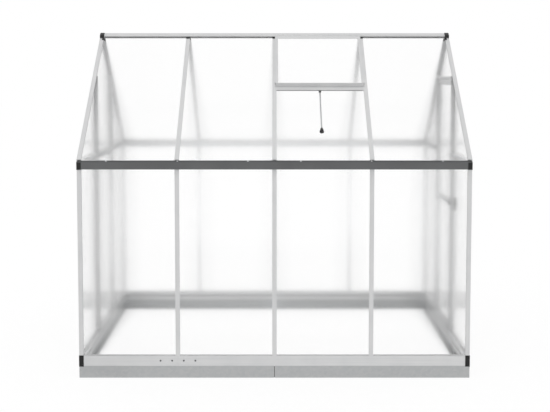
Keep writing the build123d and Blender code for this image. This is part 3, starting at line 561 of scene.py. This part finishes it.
# %% [markdown]
# From far off a plain disc would do for each, but a head with its rim and recess still looks right
# from close by. Every fastener here starts as a disc about the Z axis whose upper rim is bevelled,
# so that is one function. Another selects what the next operator is to work on, by its place, as a
# hand would with the mouse.

# %% A disc with a bevelled rim
near = 0.00001            # metres: as good as touching


def pick(kind, test):
    """In edit mode, selects the points, edges or faces whose middle passes a test."""
    bpy.ops.mesh.select_mode(type=kind)
    bpy.ops.mesh.select_all(action="DESELECT")
    mesh = bmesh.from_edit_mesh(bpy.context.object.data)
    elements = {"VERT": mesh.verts, "EDGE": mesh.edges, "FACE": mesh.faces}[kind]
    for element in elements:
        points = [element] if kind == "VERT" else list(element.verts)
        middle = sum((point.co for point in points), mathutils.Vector()) / len(points)
        if test(middle):
            element.select_set(True)
    mesh.select_flush_mode()
    bmesh.update_edit_mesh(bpy.context.object.data)


def bevelled_disc(sides, radius, low, high, rim, steps):
    """A disc about Z from one height to another, with its upper rim bevelled."""
    bpy.ops.object.select_all(action="DESELECT")
    middle = (0, 0, (low + high) / 2)
    bpy.ops.mesh.primitive_cylinder_add(vertices=sides, radius=radius, depth=high - low, location=middle)
    bpy.ops.object.transform_apply(location=True)
    bpy.ops.object.mode_set(mode="EDIT")
    pick("EDGE", lambda place: place.z > high - near)
    bpy.ops.mesh.bevel(offset=rim, segments=steps, affect="EDGES")
    bpy.ops.object.mode_set(mode="OBJECT")
    return bpy.context.object


# %% [markdown]
# A pan-head screw has a domed head with a cross recess, cold-forged in one blow. The dome is the
# bevelled rim in a few steps. For the recess, the flat top is inset to a ring, the points between
# the four arms are drawn in towards the axis, and the cross that is left is pressed down and made a
# little smaller at its bottom. A cutter and a boolean would also do it, with a less tidy mesh.
# Extrude lists its new faces in another order on each run, so all are sorted at the end, by their
# distance from the 3D cursor, which stands where no two distances are equal.

# %% Pan-head screw
head_radius = 0.0045      # metres, as the next four are
head_height = 0.0028
head_dome = 0.0012
recess_ring = 0.0010      # flat left round the recess
recess_depth = 0.0014
recess_waist = 0.4        # where the points between the arms end up, as a share of their distance
recess_taper = 0.7        # size of the recess's bottom, as a share of its mouth
arm_width = 20.0          # degrees to each side of an arm's middle
sort_from = (0.010, 0.017, 0.029)  # metres
soft_edge = math.radians(35)  # edges that turn less than this are shaded smooth
ring = head_radius - head_dome - recess_ring / 2  # metres; points inside it are the recess's


def between_arms(place):
    """Whether a point of the recess lies between two arms of the cross."""
    angle = math.degrees(math.atan2(place.y, place.x)) % 90
    in_recess = place.z > head_height - near and place.xy.length < ring
    return in_recess and arm_width < angle < 90 - arm_width


pan_head = bevelled_disc(sides=24, radius=head_radius, low=0, high=head_height, rim=head_dome, steps=4)
pan_head.name = "pan_head"
bpy.ops.object.mode_set(mode="EDIT")
pick("FACE", lambda place: place.z > head_height - near)
bpy.ops.mesh.inset(thickness=recess_ring)
pick("VERT", between_arms)
bpy.ops.transform.resize(value=(recess_waist, recess_waist, 1), center_override=(0, 0, head_height))
pick("FACE", lambda place: place.z > head_height - near and place.xy.length < near)
bpy.ops.mesh.extrude_region_move(TRANSFORM_OT_translate={"value": (0, 0, -recess_depth)})
bottom = (0, 0, head_height - recess_depth)
bpy.ops.transform.resize(value=(recess_taper, recess_taper, 1), center_override=bottom)
bpy.ops.mesh.select_all(action="SELECT")
bpy.ops.mesh.normals_make_consistent(inside=False)
scene.cursor.location = sort_from
bpy.ops.mesh.sort_elements(type="CURSOR_DISTANCE", elements={"VERT", "EDGE", "FACE"})
bpy.ops.object.mode_set(mode="OBJECT")
bpy.ops.object.shade_smooth_by_angle(angle=soft_edge)
print("pan head", len(pan_head.data.polygons), "faces")

# %% [markdown]
# The gable ties are bolted to the studs. The bolt's head sits in the stud's slot, so what shows
# inside is a washer, a hexagon nut and the end of the bolt. Each is a bevelled disc: the nut has six
# sides, and its bevel is the chamfer of a real nut. The three are joined, as they never part.

# %% Nut, washer and bolt end
washer_top = 0.0012       # metres above the tie, as the next two are
nut_top = 0.0062
bolt_top = 0.0100

washer = bevelled_disc(sides=32, radius=0.0062, low=0, high=washer_top, rim=0.0003, steps=1)
hexagon = bevelled_disc(sides=6, radius=0.0056, low=washer_top, high=nut_top, rim=0.0007, steps=2)
bolt = bevelled_disc(sides=20, radius=0.0030, low=washer_top, high=bolt_top, rim=0.0006, steps=2)
for part in (washer, hexagon, bolt):
    part.select_set(True)
bpy.context.view_layer.objects.active = washer
bpy.ops.object.join()
bpy.ops.object.shade_smooth_by_angle(angle=soft_edge)
nut = washer
nut.name = "nut_on_bolt"
print("nut on its bolt", len(nut.data.polygons), "faces")

# %% [markdown]
# Each kind is now copied to its places. A copy is moved, turned and sized as an object, then its
# transform is applied, so that its place is in its mesh as it is in the CAD nodes. Copies of one row
# are joined into one piece, which rides on the body it is screwed to.

# %% Copies in their places
to_front = (math.radians(90), 0, 0)
to_back = (math.radians(-90), 0, 0)
to_right = (0, math.radians(90), 0)
to_left = (0, math.radians(-90), 0)


def row_of(model, places, turn, size=1.0):
    """Copies of a fastener at several places, turned from Z, as one object."""
    copies = []
    for place in places:
        bpy.ops.object.select_all(action="DESELECT")
        model.select_set(True)
        bpy.context.view_layer.objects.active = model
        bpy.ops.object.duplicate()
        copy = bpy.context.object
        copy.location = place
        copy.rotation_euler = turn
        copy.scale = (size, size, size)
        bpy.ops.object.transform_apply()
        copies.append(copy)
    for copy in copies:
        copy.select_set(True)
    bpy.context.view_layer.objects.active = copies[0]
    bpy.ops.object.join()
    return copies[0]


def fitted(piece, name, body, finish):
    """Names a row, gives it its finish and fixes it to a body."""
    piece.name = name
    piece.data.name = name
    piece.data.materials.clear()
    piece.data.materials.append(finish)
    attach(piece, body)
    print(name, len(piece.data.polygons), "faces on", body)


def half_turn(places):
    """The same places after half a turn about Z, so on the opposite side or gable."""
    return [(-x, -y, z) for x, y, z in places]


# %% [markdown]
# Four screws hold the splice inside the sill, two on each side of its seam. They are painted the
# grey of the gutters, and the back wall has the same four.

# %% Sill screws
sill_face = -0.929        # metres, as the next three are
sill_seam = -0.61
sill_screw_height = 0.110
splice_steps = (-0.110, -0.037, 0.037, 0.110)
sill_screw_size = 1.2     # of the model's

sill_places = [(sill_seam + step, sill_face, sill_screw_height) for step in splice_steps]
front = row_of(pan_head, sill_places, to_front, sill_screw_size)
back = row_of(pan_head, half_turn(sill_places), to_back, sill_screw_size)
fitted(front, "sill_screws_front", "frame", powder_coat)
fitted(back, "sill_screws_back", "frame", powder_coat)

# %% [markdown]
# Six bright screws fix the back wall of each gutter to the eave beam. They show as small specks
# above the gutter's lip.

# %% Gutter screws
gutter_sheet = 0.0015     # metres, as the next two are
gutter_screw_height = 1.3756
gutter_steps = (-1.05, -0.606, -0.165, 0.165, 0.606, 1.05)

gutter_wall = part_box("eave_beam_front")[0][1] - gutter_sheet
gutter_places = [(x, gutter_wall, gutter_screw_height) for x in gutter_steps]
front = row_of(pan_head, gutter_places, to_front)
back = row_of(pan_head, half_turn(gutter_places), to_back)
fitted(front, "gutter_screws_front", "frame", bright_zinc)
fitted(back, "gutter_screws_back", "frame", bright_zinc)

# %% [markdown]
# A door hinge has three screws in each leaf. Those in the jamb's leaves stay with the frame, and
# those in the other leaves swing with the door.

# %% Hinge screws
leaf_face = 1.236         # metres, as the next five are
leaf_half = 0.025         # half of a leaf's height
middle_hinge = 1.020
jamb_row = 0.307
door_row = 0.272
leaf_steps = (-0.016, 0, 0.016)
hinge_screw_size = 0.7    # of the model's

jamb_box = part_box("jamb_hinge_leaves")
hinge_heights = (jamb_box[0][2] + leaf_half, middle_hinge, jamb_box[1][2] - leaf_half)
screw_heights = [height + step for height in hinge_heights for step in leaf_steps]
jamb_places = [(leaf_face, jamb_row, height) for height in screw_heights]
door_places = [(leaf_face, door_row, height) for height in screw_heights]
on_jamb = row_of(pan_head, jamb_places, to_right, hinge_screw_size)
on_door = row_of(pan_head, door_places, to_right, hinge_screw_size)
fitted(on_jamb, "jamb_hinge_screws", "frame", bright_zinc)
fitted(on_door, "door_hinge_screws", "door", bright_zinc)

# %% [markdown]
# Last come the nuts on the ties, two in each gable. The two models at the origin have done their
# work and go.

# %% Tie nuts
tie_face = -1.204         # metres, as the next two are
tie_height = 1.366
stud_row = 0.305          # from the middle of a gable to each stud

tie_places = [(tie_face, y, tie_height) for y in (-stud_row, stud_row)]
left = row_of(nut, tie_places, to_right)
right = row_of(nut, half_turn(tie_places), to_left)
fitted(left, "left_tie_nuts", "frame", zinc_plated)
fitted(right, "right_tie_nuts", "frame", zinc_plated)
for model in (pan_head, nut):
    bpy.data.objects.remove(model)
